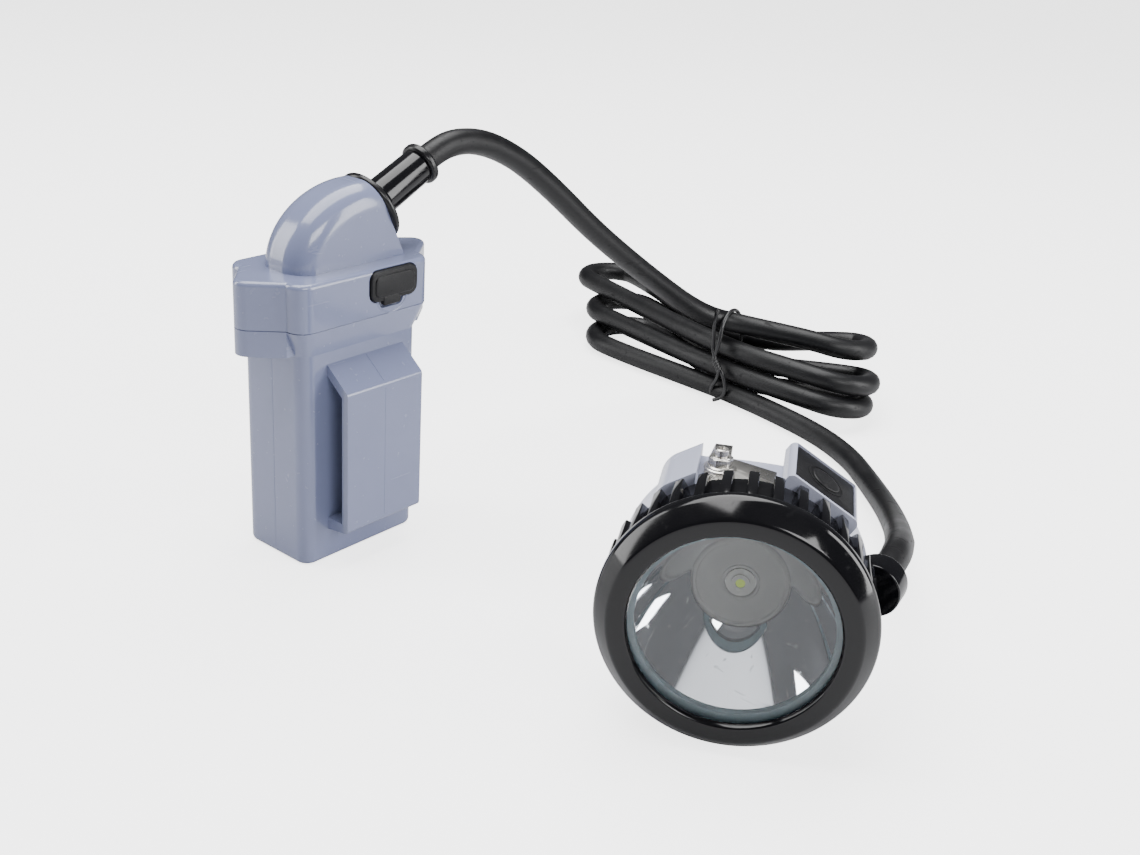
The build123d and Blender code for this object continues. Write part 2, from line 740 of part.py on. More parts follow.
# The plate's neck and the tongue's far edge
neck_u, tongue_u = -6.0, 4.0
hook_plane = Plane(origin=head_point(0, channel_v, 0), x_dir=across, z_dir=up)
slot_way = CenterArc((bolt_u, bolt_w), 9.0, -38, 76)
with BuildPart() as hook_plate:
    # In this plane, y runs back from the bezel's front.
    with BuildSketch(hook_plane):
        with BuildLine():
            Polyline(
                (hook_mid - hook_half, face_w + 1.5),
                (hook_mid + hook_half, face_w + 1.5),
                (hook_mid + hook_half, 39.5),
                (neck_u, 45.5),
                (neck_u, hook_back),
                (hook_mid - hook_half, hook_back),
                close=True,
            )
        make_face()
        with Locations((bolt_u, bolt_w)):
            Circle(2.1, mode=Mode.SUBTRACT)
        SlotArc(slot_way, 2.4, mode=Mode.SUBTRACT)
    extrude(amount=hook_t)
    # The tongue hangs down behind the shell.
    with BuildSketch(behind(hook_back)):
        with BuildLine():
            Polyline(
                (hook_mid - hook_half, channel_v + hook_t),
                (neck_u, channel_v + hook_t),
                (neck_u, 23.0),
                (tongue_u, 16.0),
                (tongue_u, 6.0),
                (tongue_u - 2.0, 2.0),
                (hook_mid - hook_half + 2.0, 2.0),
                (hook_mid - hook_half, 6.0),
                close=True,
            )
        make_face()
    extrude(amount=hook_t)
save("hook_plate", hook_plate)

bolt_top = 36.6
with BuildPart() as hook_washer:
    with BuildSketch(hook_plane.offset(hook_t)):
        with Locations((bolt_u, bolt_w)):
            Circle(4.6)
            Circle(2.1, mode=Mode.SUBTRACT)
    extrude(amount=0.8)
save("hook_washer", hook_washer)

with BuildPart() as hook_nut:
    with BuildSketch(hook_plane.offset(hook_t + 0.8)):
        with Locations((bolt_u, bolt_w)):
            RegularPolygon(4.0, 6)
            Circle(2.0, mode=Mode.SUBTRACT)
    extrude(amount=3.2)
save("hook_nut", hook_nut)

bolt_foot = 18.4
with BuildPart() as hook_bolt:
    with BuildSketch(Plane(origin=head_point(bolt_u, bolt_foot, bolt_w), x_dir=across, z_dir=up)):
        Circle(3.3)
    extrude(amount=1.8)
    with BuildSketch(Plane(origin=head_point(bolt_u, bolt_foot, bolt_w), x_dir=across, z_dir=up)):
        Circle(2.0)
    extrude(amount=bolt_top - bolt_foot)
    with BuildSketch(Plane(origin=head_point(bolt_u, bolt_top, bolt_w), x_dir=across, z_dir=up)):
        Circle(0.9)
    extrude(amount=-1.4, mode=Mode.SUBTRACT)
save("hook_bolt", hook_bolt)

# ----------------------------------------------------------- the cord grommet
# A rubber boot on the shell's flank, with its root in the shell's bore
with BuildPart() as cord_grommet:
    with BuildSketch(grommet.offset(-7.6)):
        Circle(7.7)
    extrude(amount=8.8)
    fillet(cord_grommet.edges().filter_by(GeomType.CIRCLE), 0.5)
    with BuildSketch(grommet.offset(-6.0)):
        Circle(bore_r)
    extrude(amount=8, mode=Mode.SUBTRACT)
    add(lamp_shell.part, mode=Mode.SUBTRACT)
save("cord_grommet", cord_grommet)

with BuildPart() as cord_end_head:
    with BuildSketch(grommet.offset(-5.6)):
        Circle(cord_d / 2)
    extrude(amount=6.8)
save("cord_end_head", cord_end_head)


# -------------------------------------------------------------------- the cord
def cord_radii(route):
    """Each corner's arc: 0.45 of the shorter run over the tangent of half the turn."""
    radii = []
    for before, here, after in zip(route, route[1:], route[2:]):
        first, second = here - before, after - here
        turn = first.get_angle(second)
        run = min(first.length, second.length)
        radii.append(0.45 * run / tan(radians(turn / 2)))
    return radii


def cord_tube(route):
    """A tube along straight runs joined by tangent arcs."""
    radii = cord_radii(route)
    print("arc radii", [round(r, 1) for r in radii])
    with BuildPart() as tube:
        with BuildLine() as way:
            FilletPolyline(*route, radius=radii)
        with BuildSketch(Plane(origin=way.line @ 0, z_dir=way.line % 0)):
            Circle(cord_d / 2)
        sweep()
    length = sum(edge.length for edge in way.edges())
    expected = pi * cord_d**2 / 4 * length
    print("length", round(length, 1), "volume over section times length", round(tube.part.volume / expected, 4))
    return tube


lead_route = [
    gland_c + gland_dir * sleeve_len,
    gland_c + gland_dir * (sleeve_len + 7.5),
    Vector(55.9, -0.3, 128.9),
    Vector(65.3, -0.8, 128.0),
    Vector(75.8, -1.5, 124.6),
    Vector(89.1, -2.4, 117.6),
    Vector(107.0, -3.6, 104.6),
    Vector(129.5, -5.0, 86.6),
    Vector(153.0, -6.4, 70.2),
    Vector(175.0, -8.2, 55.6),
    Vector(191.0, -10.4, 45.2),
    Vector(204.0, -15.0, 37.4),
    Vector(215.0, -21.6, 33.6),
    Vector(225.5, -30.2, 32.4),
    Vector(233.0, -42.5, 31.4),
    Vector(239.0, -56.0, 29.0),
    Vector(243.0, -69.0, 24.6),
]
cord_lead = cord_tube(lead_route)
save("cord_lead", cord_lead)

tail_route = [
    Vector(206.4, -30.0, 4.6),
    Vector(202.6, -52.0, 4.7),
    Vector(195.8, -80.0, 4.6),
    Vector(184.4, -101.6, 4.7),
    Vector(167.2, -119.7, 5.4),
    Vector(143.0, -139.1, 10.0),
    Vector(114.5, -155.8, 19.0),
    Vector(87.0, -169.0, 30.0),
    Vector(66.5, -178.0, 39.0),
    grommet_c + grommet_dir * 14,
    grommet_c + grommet_dir * 1.2,
]
cord_tail = cord_tube(tail_route)
save("cord_tail", cord_tail)

# Hank: three turns, each a long loop pinched at the tie, stacked a cord apart.
# Each row is a turn's left end (x, y, radius) and right end (x, y, radius).
tie_y = -20.0
waist_lo, waist_hi = 203.6, 226.0
turns = [
    ((230.0, 42.5, 23.5), (225.0, -66.0, 21.5)),
    ((241.0, 54.5, 21.5), (229.5, -65.5, 21.5)),
    ((255.0, 73.0, 20.5), (246.0, -54.0, 21.5)),
]
turn_h = 9.4
tie_lift = 2.2
with BuildPart() as cord_hank:
    for level, (left, right) in enumerate(turns):
        with BuildSketch(Plane.XY.offset(level * turn_h)):
            for x, y, r in (left, right):
                with Locations((x, y)):
                    Circle(r)
            Polygon(
                (left[0] - left[2] * 0.96, left[1] - 6),
                (waist_lo, tie_y),
                (right[0] - right[2] * 0.96, right[1] + 6),
                (right[0] + right[2] * 0.96, right[1] + 6),
                (waist_hi, tie_y),
                (left[0] + left[2] * 0.96, left[1] - 6),
                align=None,
            )
        extrude(amount=turn_h)
    # Groove all round for the tie
    with BuildSketch(Plane.XZ.offset(-tie_y - 1.5)):
        with Locations(((waist_lo + waist_hi) / 2, 0)):
            Rectangle(80, 70)
        with Locations(((waist_lo + waist_hi) / 2, tie_lift)):
            Rectangle(
                waist_hi - waist_lo,
                len(turns) * turn_h - tie_lift,
                align=(Align.CENTER, Align.MIN),
                mode=Mode.SUBTRACT,
            )
    extrude(amount=3.0, mode=Mode.SUBTRACT)
save("cord_hank", cord_hank)

# Tie: one turn of covered wire round the pinch and the lead on it, above the floor
tie_t = 1.7
tie_top = 43.0
tie_width = waist_hi - waist_lo + 8.2
with BuildPart() as hank_tie:
    with BuildSketch(Plane.XZ.offset(-tie_y - tie_t / 2)):
        with Locations(((waist_lo + waist_hi) / 2, tie_top / 2 + 0.1)):
            RectangleRounded(tie_width, tie_top, 2.7)
            RectangleRounded(tie_width - 2 * tie_t, tie_top - 2 * tie_t, 1.0, mode=Mode.SUBTRACT)
    extrude(amount=tie_t)
save("hank_tie", hank_tie)
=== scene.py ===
# %% [markdown]
# # A miner's cap lamp
#
# The lamp is a battery case that rides on the belt, a rubber cord, and a lamp
# head that hooks onto the helmet. The exact mechanical model is loaded first
# and stays as it is: this notebook gives its parts their finishes, and models
# again the pieces whose real surface is rounder or finer than a plain part.

# %% Load the frame
import json
from math import cos, pi, radians, sin

import bmesh
import bpy
from mathutils import Matrix, Vector


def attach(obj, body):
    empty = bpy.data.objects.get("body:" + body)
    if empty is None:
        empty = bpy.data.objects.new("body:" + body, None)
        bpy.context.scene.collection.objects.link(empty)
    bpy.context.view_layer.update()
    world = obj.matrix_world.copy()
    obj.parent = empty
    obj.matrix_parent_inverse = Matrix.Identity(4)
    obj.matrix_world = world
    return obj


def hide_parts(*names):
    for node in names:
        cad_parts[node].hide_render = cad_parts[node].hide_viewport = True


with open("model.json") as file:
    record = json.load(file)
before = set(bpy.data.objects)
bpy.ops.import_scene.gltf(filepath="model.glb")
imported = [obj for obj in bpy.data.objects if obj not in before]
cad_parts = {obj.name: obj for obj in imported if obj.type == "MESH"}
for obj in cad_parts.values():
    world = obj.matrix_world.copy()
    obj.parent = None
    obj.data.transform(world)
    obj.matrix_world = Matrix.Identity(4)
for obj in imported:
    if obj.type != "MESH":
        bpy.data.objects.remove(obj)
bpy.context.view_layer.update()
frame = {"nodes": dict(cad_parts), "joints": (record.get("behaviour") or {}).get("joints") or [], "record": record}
MM = 0.001

# %% [markdown]
# The camera comes first, because everything is judged through it. It looks
# down a little on the lamp from the front left, with a normal lens. A camera
# looks along its own -Z, so its matrix is built from three directions: where
# its back points, and which ways are right and up in the picture. The small
# roll is in those last two.

# %% Camera
camera_place = Vector((-0.2802, -0.3210, 0.2259))
camera_turn, camera_tilt, camera_roll = radians(-51.98), radians(23.40), radians(4.08)

back = Vector((
    sin(camera_turn) * cos(camera_tilt), -cos(camera_turn) * cos(camera_tilt), sin(camera_tilt),
))
level = Vector((0, 0, 1)).cross(back).normalized()
above = back.cross(level)
right = cos(camera_roll) * level + sin(camera_roll) * above
top = cos(camera_roll) * above - sin(camera_roll) * level

camera_data = bpy.data.cameras.new("camera")
camera_data.sensor_width = 36.0
camera_data.lens = 42.85
camera_data.clip_start = 0.01
camera = bpy.data.objects.new("camera", camera_data)
camera_axes = Matrix((right, top, back)).transposed().to_4x4()
camera.matrix_world = Matrix.Translation(camera_place) @ camera_axes
bpy.context.scene.collection.objects.link(camera)
bpy.context.scene.camera = camera
print("camera at", [round(x, 3) for x in camera_place], "with a", camera_data.lens, "mm lens")

# %% [markdown]
# Next the places that the pieces hang on. The bezel's joint gives the lamp
# head's axis, so a matrix with that axis as its Z turns a piece that is
# modelled upright at the origin into the head's own attitude. The gland on
# the battery leans upwards, and gets a matrix in the same way.

# %% Places
def matrix_from(place, x_way, z_way):
    """A matrix that puts the origin at place, with its X and Z along two ways."""
    z_way = z_way.normalized()
    y_way = z_way.cross(x_way).normalized()
    return Matrix.Translation(place) @ Matrix((y_way.cross(z_way), y_way, z_way)).transposed().to_4x4()


up = Vector((0, 0, 1))
bezel_joint = next(joint for joint in frame["joints"] if joint["name"] == "bezel_turn")
forward = Vector(bezel_joint["axis"]).normalized()
across = Vector((-forward.y, forward.x, 0))
# The joint's point is 10 mm behind the bezel's front face.
head_centre = Vector(bezel_joint["pos_m"]) + forward * 10 * MM
HEAD = matrix_from(head_centre, across, forward)

gland_tilt = radians(25.7)
gland_way = Vector((cos(gland_tilt), 0, sin(gland_tilt)))
gland_centre = Vector((17.5, 0, 112.9)) * MM
GLAND = matrix_from(gland_centre, Vector((0, 1, 0)), gland_way)
sleeve_length = 25.8 * MM
print("lamp head centre", [round(x, 4) for x in head_centre])


def head_point(u, v, w):
    """A place u across, v above and w behind the middle of the bezel's front."""
    return head_centre + across * u + up * v - forward * w


# %% [markdown]
# ## The cord
#
# The cord is 9 mm of rubber-sheathed cable. It leaves the gland upwards,
# bends over, runs down to a hank of three turns that a wire ties together,
# and comes out under the hank to run along the floor and up into the lamp
# head. One smooth NURBS curve with a round bevel is the natural way: its
# control points are the route, and the turns of the hank are points that a
# loop works out, each turn one long loop, pinched at the tie.

# %% The cord's route
cord_diameter = 9 * MM
grommet_place = head_point(38 * MM, 4.9 * MM, 33.5 * MM)
grommet_out = radians(18)
grommet_way = across * sin(grommet_out) - forward * cos(grommet_out)

lead_points = [
    gland_centre + gland_way * sleeve_length,
    gland_centre + gland_way * (sleeve_length + 7.5 * MM),
    Vector((0.0559, -0.0003, 0.1289)),
    Vector((0.0653, -0.0008, 0.1280)),
    Vector((0.0758, -0.0015, 0.1246)),
    Vector((0.0891, -0.0024, 0.1176)),
    Vector((0.1070, -0.0036, 0.1046)),
    Vector((0.1295, -0.0050, 0.0866)),
    Vector((0.1530, -0.0064, 0.0702)),
    Vector((0.1750, -0.0082, 0.0556)),
    Vector((0.1910, -0.0104, 0.0452)),
    Vector((0.2040, -0.0150, 0.0374)),
    Vector((0.2150, -0.0216, 0.0336)),
]
tail_points = [
    Vector((0.2064, -0.0300, 0.0046)),
    Vector((0.2026, -0.0520, 0.0047)),
    Vector((0.1958, -0.0800, 0.0046)),
    Vector((0.1844, -0.1016, 0.0047)),
    Vector((0.1672, -0.1197, 0.0054)),
    Vector((0.1430, -0.1391, 0.0100)),
    Vector((0.1145, -0.1558, 0.0190)),
    Vector((0.0870, -0.1690, 0.0300)),
    Vector((0.0665, -0.1780, 0.0390)),
    grommet_place + grommet_way * 14 * MM,
    grommet_place + grommet_way * 1.2 * MM,
]

# Each turn: the lobe on the right, the strand behind, the lobe on the left and
# the strand in front. A lobe has a middle, a radius and its heights at the
# start and the end. Turns go from the top of the hank to the floor.
turns = [
    {"right": (246, -54, 17, 31.6, 22.7), "behind": (219.5, -20, 22.7),
     "left": (255, 73, 16, 21.0, 23.4), "front": (210.0, -20, 22.7)},
    {"right": (229.5, -65.5, 17, 22.7, 13.6), "behind": (218.0, -20, 13.6),
     "left": (241, 54.5, 17, 12.6, 14.2), "front": (208.5, -20, 13.6)},
    {"right": (225, -66, 17, 13.6, 4.6), "behind": (217.0, -20, 4.6),
     "left": (230, 42.5, 19, 4.6, 5.2), "front": (207.5, -20, 4.6)},
]
# A quadratic NURBS curve runs inside its control points, by this much on a lobe.
inside = 0.925
hank_points = []
for turn in turns:
    for side, first, last in (("right", 180, 360), ("left", 0, 180)):
        x, y, radius, high, low = turn[side]
        for step in range(5):
            angle = radians(first + (last - first) * step / 4)
            reach = radius / inside
            height = high + (low - high) * step / 4
            hank_points.append(Vector((x + reach * cos(angle), y + reach * sin(angle), height)) * MM)
        strand = turn["behind"] if side == "right" else turn["front"]
        hank_points.append(Vector(strand) * MM)
cord_points = lead_points + hank_points + tail_points
print(len(cord_points), "points along the cord")


# %% Make the cord
def smooth_curve(name, runs, radius, resolution=12, rings=6):
    """A round cord along one NURBS spline for each run of points."""
    data = bpy.data.curves.new(name, "CURVE")
    data.dimensions = "3D"
    data.resolution_u = resolution
    # A point's radius scales the bevel, so a depth of 1 leaves the size to the points.
    data.bevel_depth = 1.0
    data.bevel_resolution = rings
    data.use_fill_caps = True
    for points in runs:
        spline = data.splines.new("NURBS")
        spline.points.add(len(points) - 1)
        for point, place in zip(spline.points, points):
            point.co = (*place, 1)
            point.radius = radius
        spline.order_u = 3
        spline.use_endpoint_u = True
    piece = bpy.data.objects.new(name, data)
    bpy.context.scene.collection.objects.link(piece)
    return piece


def path_length(points):
    return sum((b - a).length for a, b in zip(points, points[1:]))


def smooth_path(piece):
    """The points along a curve, read from a copy without its round section."""
    bare = piece.copy()
    bare.data = piece.data.copy()
    bare.data.bevel_depth = 0
    mesh = bpy.data.meshes.new_from_object(bare)
    points = [vertex.co.copy() for vertex in mesh.vertices]
    bpy.data.objects.remove(bare)
    return points


cord = smooth_curve("cord", [cord_points], cord_diameter / 2)
cord_path = smooth_path(cord)
cord_length = path_length(cord_path)
print("cord length", round(cord_length, 4), "m, lowest", round(min(p.z for p in cord_path), 4))

# %% [markdown]
# The hank is tied with one length of thin plastic-covered wire. It goes once
# round the pinch, its two ends are twisted together on the near side, and
# what is left of each end sticks out. So it is one spline: an end, half of the
# twist, the loop, the other half of the twist and the second end.

# %% Tie wire
tie_radius = 0.85 * MM
knot_low, knot_high = Vector((200.9, -26.4, 15.0)) * MM, Vector((200.9, -22.6, 19.8)) * MM
twist_turns, twist_steps = 2.5, 12


def twisted(start, end, phase):
    """Half of a two-strand twist: a helix round the line from start to end."""
    way = (end - start).normalized()
    side = way.cross(Vector((1, 0, 0))).normalized()
    other = way.cross(side)
    points = []
    for step in range(twist_steps + 1):
        share = step / twist_steps
        angle = phase + 2 * pi * twist_turns * share
        offset = (side * cos(angle) + other * sin(angle)) * tie_radius * 1.05
        points.append(start.lerp(end, share) + offset)
    return points


loop = [
    (201.4, -24.6, 10.5), (201.9, -22.2, 6.4), (204.0, -20.6, 2.4), (208.0, -20.2, 1.0),
    (217.0, -20.0, 0.9), (222.4, -19.8, 1.8), (225.0, -19.8, 6.0), (225.4, -20.0, 14.0),
    (225.8, -20.2, 24.0), (224.2, -20.4, 31.2), (219.8, -20.9, 37.4), (214.6, -21.4, 39.9),
    (209.2, -22.0, 39.4), (204.8, -22.6, 36.0), (202.9, -23.2, 30.8), (201.8, -23.4, 25.6),
]
first_end = [
    (204.6, -19.6, 41.4), (203.0, -19.5, 39.0), (202.7, -19.6, 34.0), (202.2, -20.3, 27.5),
    (201.4, -21.4, 22.6),
]
second_end = [
    (201.0, -28.6, 12.4), (200.9, -30.0, 9.0), (201.0, -29.6, 5.2), (200.7, -27.4, 2.6),
    (200.3, -24.8, 1.4),
]
tie_points = (
    [Vector(p) * MM for p in first_end]
    + twisted(knot_high, knot_low, 0)
    + [Vector(p) * MM for p in loop]
    + twisted(knot_high, knot_low, pi)
    + [Vector(p) * MM for p in second_end]
)
tie = smooth_curve("tie_wire", [tie_points], tie_radius, resolution=8, rings=3)

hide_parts("cord_lead", "cord_hank", "cord_tail")
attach(cord, "lamp")
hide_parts("hank_tie")
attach(tie, "lamp")
print("tie wire of", len(tie_points), "points")

# %% [markdown]
# ## Floor and light
#
# A glossy moulding is seen by what it mirrors, so the light is a few large
# soft panels in a dim room: a wide one overhead gives the long pale
# highlights on top faces, and one on each side draws the edges. A studio
# floor is exposed almost to white, but what the lamp mirrors of it has to
# stay dark enough for black to look black. So the floor glows a little, for
# rays that come straight from the camera only.

# %% Floor and lights
floor_mesh = bmesh.new()
bmesh.ops.create_grid(floor_mesh, x_segments=1, y_segments=1, size=6.0)
floor_data = bpy.data.meshes.new("floor")
floor_mesh.to_mesh(floor_data)
floor_mesh.free()
floor = bpy.data.objects.new("floor", floor_data)
bpy.context.scene.collection.objects.link(floor)

floor_paint = bpy.data.materials.new("pale floor")
floor_paint.use_nodes = True
floor_tree = floor_paint.node_tree
floor_shader = floor_tree.nodes["Principled BSDF"]
floor_shader.inputs["Base Color"].default_value = (0.66, 0.66, 0.67, 1)
floor_shader.inputs["Roughness"].default_value = 0.6
floor_shader.inputs["Emission Color"].default_value = (1.0, 1.0, 1.0, 1)
# The camera alone sees this glow, so that dark parts don't mirror a white floor
floor_glow = 2.8
seen = floor_tree.nodes.new("ShaderNodeLightPath").outputs["Is Camera Ray"]
share = floor_tree.nodes.new("ShaderNodeMath")
share.operation = "MULTIPLY"
share.inputs[1].default_value = floor_glow
floor_tree.links.new(seen, share.inputs[0])
floor_tree.links.new(share.outputs[0], floor_shader.inputs["Emission Strength"])
floor_data.materials.append(floor_paint)


def soft_panel(name, place, target, width, height, power):
    """A rectangular area light at place, facing target."""
    data = bpy.data.lights.new(name, "AREA")
    data.shape = "RECTANGLE"
    data.size, data.size_y = width, height
    data.energy = power
    lamp = bpy.data.objects.new(name, data)
    way = Vector(target) - Vector(place)
    lamp.matrix_world = Matrix.Translation(place) @ way.to_track_quat("-Z", "Y").to_matrix().to_4x4()
    bpy.context.scene.collection.objects.link(lamp)


middle = (0.09, -0.06, 0.05)
soft_panel("overhead panel", (0.10, 0.15, 1.10), middle, 1.3, 0.8, 28)
soft_panel("left panel", (-0.60, 0.85, 0.45), middle, 0.35, 0.9, 8)
soft_panel("right panel", (0.60, -0.95, 0.40), middle, 0.4, 0.8, 11)
soft_panel("front panel", (-0.30, -1.15, 0.80), middle, 0.7, 0.4, 10)

sky = bpy.data.worlds.new("studio")
sky.use_nodes = True
bpy.context.scene.world = sky
sky_light = sky.node_tree.nodes["Background"]
sky_light.inputs["Color"].default_value = (0.93, 0.95, 1.0, 1)
sky_light.inputs["Strength"].default_value = 0.12
print("floor, four soft panels and a dim room")

# %% [markdown]
# ## Finishes
#
# Moulded plastic isn't one flat colour: its gloss varies where hands and
# cloth have rubbed it, fine scratches catch the light, and dust lies on what
# faces up. Plastics, rubbers and metals share these effects, so they are
# shader groups with named inputs, and each material sets its own amounts.

# %% Node helpers
def new_group(name, inputs, outputs):
    """An empty shader group: its tree, its input node and its output node."""
    tree = bpy.data.node_groups.new(name, "ShaderNodeTree")
    for label, kind, value in inputs:
        socket = tree.interface.new_socket(name=label, in_out="INPUT", socket_type=kind)
        socket.default_value = value
    for label, kind in outputs:
        tree.interface.new_socket(name=label, in_out="OUTPUT", socket_type=kind)
    return tree, tree.nodes.new("NodeGroupInput"), tree.nodes.new("NodeGroupOutput")


def node(tree, kind, links=(), values=(), **settings):
    """A node with its settings, its values by input name and its incoming links."""
    made = tree.nodes.new(kind)
    for key, value in settings.items():
        setattr(made, key, value)
    for label, value in dict(values).items():
        made.inputs[label].default_value = value
    for label, source in dict(links).items():
        tree.links.new(source, made.inputs[label])
    return made


def noise(tree, scale, detail=3.0, vector=None):
    links = {"Vector": vector} if vector else {}
    made = node(tree, "ShaderNodeTexNoise", links, {"Detail": detail, "Roughness": 0.6})
    if isinstance(scale, (int, float)):
        made.inputs["Scale"].default_value = scale
    else:
        tree.links.new(scale, made.inputs["Scale"])
    return made.outputs["Fac"]


def remap(tree, value, low, high, to_low=0.0, to_high=1.0):
    """Map Range: each bound is a number or another node's output."""
    made = node(tree, "ShaderNodeMapRange", {"Value": value})
    bounds = {"From Min": low, "From Max": high, "To Min": to_low, "To Max": to_high}
    for label, bound in bounds.items():
        if isinstance(bound, (int, float)):
            made.inputs[label].default_value = bound
        else:
            tree.links.new(bound, made.inputs[label])
    return made.outputs["Result"]


def math(tree, operation, a, b):
    made = node(tree, "ShaderNodeMath", operation=operation)
    for socket, value in zip(made.inputs, (a, b)):
        if isinstance(value, (int, float)):
            socket.default_value = value
        else:
            tree.links.new(value, socket)
    return made.outputs[0]


def object_place(tree):
    return tree.nodes.new("ShaderNodeTexCoord").outputs["Object"]


# %% [markdown]
# The first group is the surface of a moulding: patches of more and less
# gloss, a faint orange peel for the bump, and a tone that shades the colour a
# little, darker in broad patches and paler where dust has settled.

# %% Moulded surface group
FLOAT, COLOUR = "NodeSocketFloat", "NodeSocketColor"
moulded, given, result = new_group(
    "moulded surface",
    [("Colour", COLOUR, (1, 1, 1, 1)), ("Dust colour", COLOUR, (1, 1, 1, 1)), ("Dust", FLOAT, 0.1),
     ("Gloss low", FLOAT, 0.2), ("Gloss high", FLOAT, 0.35), ("Grain scale", FLOAT, 900.0)],
    [("Colour", COLOUR), ("Roughness", FLOAT), ("Height", FLOAT)],
)
place = object_place(moulded)
patches = noise(moulded, 45.0, 4.0, place)
specks = noise(moulded, 1400.0, 2.0, place)
grain = noise(moulded, given.outputs["Grain scale"], 2.0, place)
facing = node(
    moulded, "ShaderNodeSeparateXYZ", {0: moulded.nodes.new("ShaderNodeNewGeometry").outputs["Normal"]}
).outputs["Z"]
lying = math(moulded, "MULTIPLY", remap(moulded, facing, 0.2, 1.0), remap(moulded, patches, 0.42, 0.62))
flecks = remap(moulded, specks, 0.70, 0.78, 0.0, 0.6)
spotted = math(moulded, "ADD", math(moulded, "MULTIPLY", lying, 0.7), flecks)
dusty = math(moulded, "MULTIPLY", spotted, given.outputs["Dust"])
shading = remap(moulded, patches, 0.3, 0.7, 0.0, 0.10)
shaded = node(
    moulded, "ShaderNodeMix", {"A": given.outputs["Colour"], "Factor": shading},
    data_type="RGBA", blend_type="MULTIPLY",
)
shaded.inputs["B"].default_value = (0.55, 0.57, 0.62, 1)
dusted = node(
    moulded, "ShaderNodeMix",
    {"A": shaded.outputs["Result"], "B": given.outputs["Dust colour"], "Factor": dusty},
    data_type="RGBA",
)
gloss = remap(moulded, patches, 0.32, 0.68, given.outputs["Gloss low"], given.outputs["Gloss high"])
rough = math(moulded, "ADD", gloss, math(moulded, "MULTIPLY", dusty, 0.5))
moulded.links.new(dusted.outputs["Result"], result.inputs["Colour"])
moulded.links.new(rough, result.inputs["Roughness"])
moulded.links.new(grain, result.inputs["Height"])
print("group", moulded.name, "with", len(moulded.nodes), "nodes")

# %% [markdown]
# The second group is for scratches. Noise that is squeezed along one way
# makes streaks, and only its highest crests are kept. Two sets of streaks
# cross each other, as they do on things that are put down and picked up.

# %% Scratch group
scratched, given, result = new_group("fine scratches", [("Amount", FLOAT, 0.3)], [("Mask", FLOAT)])
place = object_place(scratched)
sets = []
for turn, stretch in (((0.3, 0.2, 0.7), (14, 400, 400)), ((0.9, 1.1, 0.1), (380, 12, 380))):
    mapping = node(scratched, "ShaderNodeMapping", {"Vector": place}, {"Rotation": turn, "Scale": stretch})
    sets.append(remap(scratched, noise(scratched, 1.0, 2.0, mapping.outputs["Vector"]), 0.66, 0.72))
both = math(scratched, "MAXIMUM", sets[0], sets[1])
scratched.links.new(math(scratched, "MULTIPLY", both, given.outputs["Amount"]), result.inputs["Mask"])
print("group", scratched.name)


# %% [markdown]
# A plastic or rubber is then a Principled shader fed by both groups. Its
# colour, gloss, dust and scratches are the only things that differ between
# the case, the lamp's shell, the bezel and the seals.

# %% Plastics and rubbers
grain_height = 0.2 * MM


def plastic(
    name, colour, gloss, dust=0.10, scratches=0.25, grain=900.0, bump=0.04, coat=0.0, specular=0.5,
):
    """A non-metal: gloss is its lowest and highest roughness, dust and scratches are amounts."""
    material = bpy.data.materials.new(name)
    material.use_nodes = True
    tree = material.node_tree
    shader = tree.nodes["Principled BSDF"]
    surface = tree.nodes.new("ShaderNodeGroup")
    surface.node_tree = moulded
    paler = tuple(0.45 + 0.5 * c for c in colour)
    for label, value in (
        ("Colour", (*colour, 1)), ("Dust colour", (*paler, 1)), ("Dust", dust),
        ("Gloss low", gloss[0]), ("Gloss high", gloss[1]), ("Grain scale", grain),
    ):
        surface.inputs[label].default_value = value
    marks = tree.nodes.new("ShaderNodeGroup")
    marks.node_tree = scratched
    marks.inputs["Amount"].default_value = scratches
    tree.links.new(surface.outputs["Colour"], shader.inputs["Base Color"])
    rough = math(tree, "ADD", surface.outputs["Roughness"], marks.outputs["Mask"])
    tree.links.new(rough, shader.inputs["Roughness"])
    relief = node(
        tree, "ShaderNodeBump", {"Height": surface.outputs["Height"]},
        {"Strength": bump, "Distance": grain_height},
    )
    tree.links.new(relief.outputs["Normal"], shader.inputs["Normal"])
    shader.inputs["Specular IOR Level"].default_value = specular
    shader.inputs["Coat Weight"].default_value = coat
    shader.inputs["Coat Roughness"].default_value = 0.06
    return material


def turned_metal(name, colour, gloss, stretch, bump=0.10, dust=0.06):
    """A metal with fine lines along one way: stretch is how the noise is scaled."""
    material = plastic(name, colour, gloss, dust=dust, scratches=0.18, bump=bump)
    tree = material.node_tree
    shader = tree.nodes["Principled BSDF"]
    shader.inputs["Metallic"].default_value = 1.0
    mapping = node(tree, "ShaderNodeMapping", {"Vector": object_place(tree)}, {"Scale": stretch})
    lines = noise(tree, 1.0, 4.0, mapping.outputs["Vector"])
    relief = next(n for n in tree.nodes if n.type == "BUMP")
    tree.links.new(lines, relief.inputs["Height"])
    return material


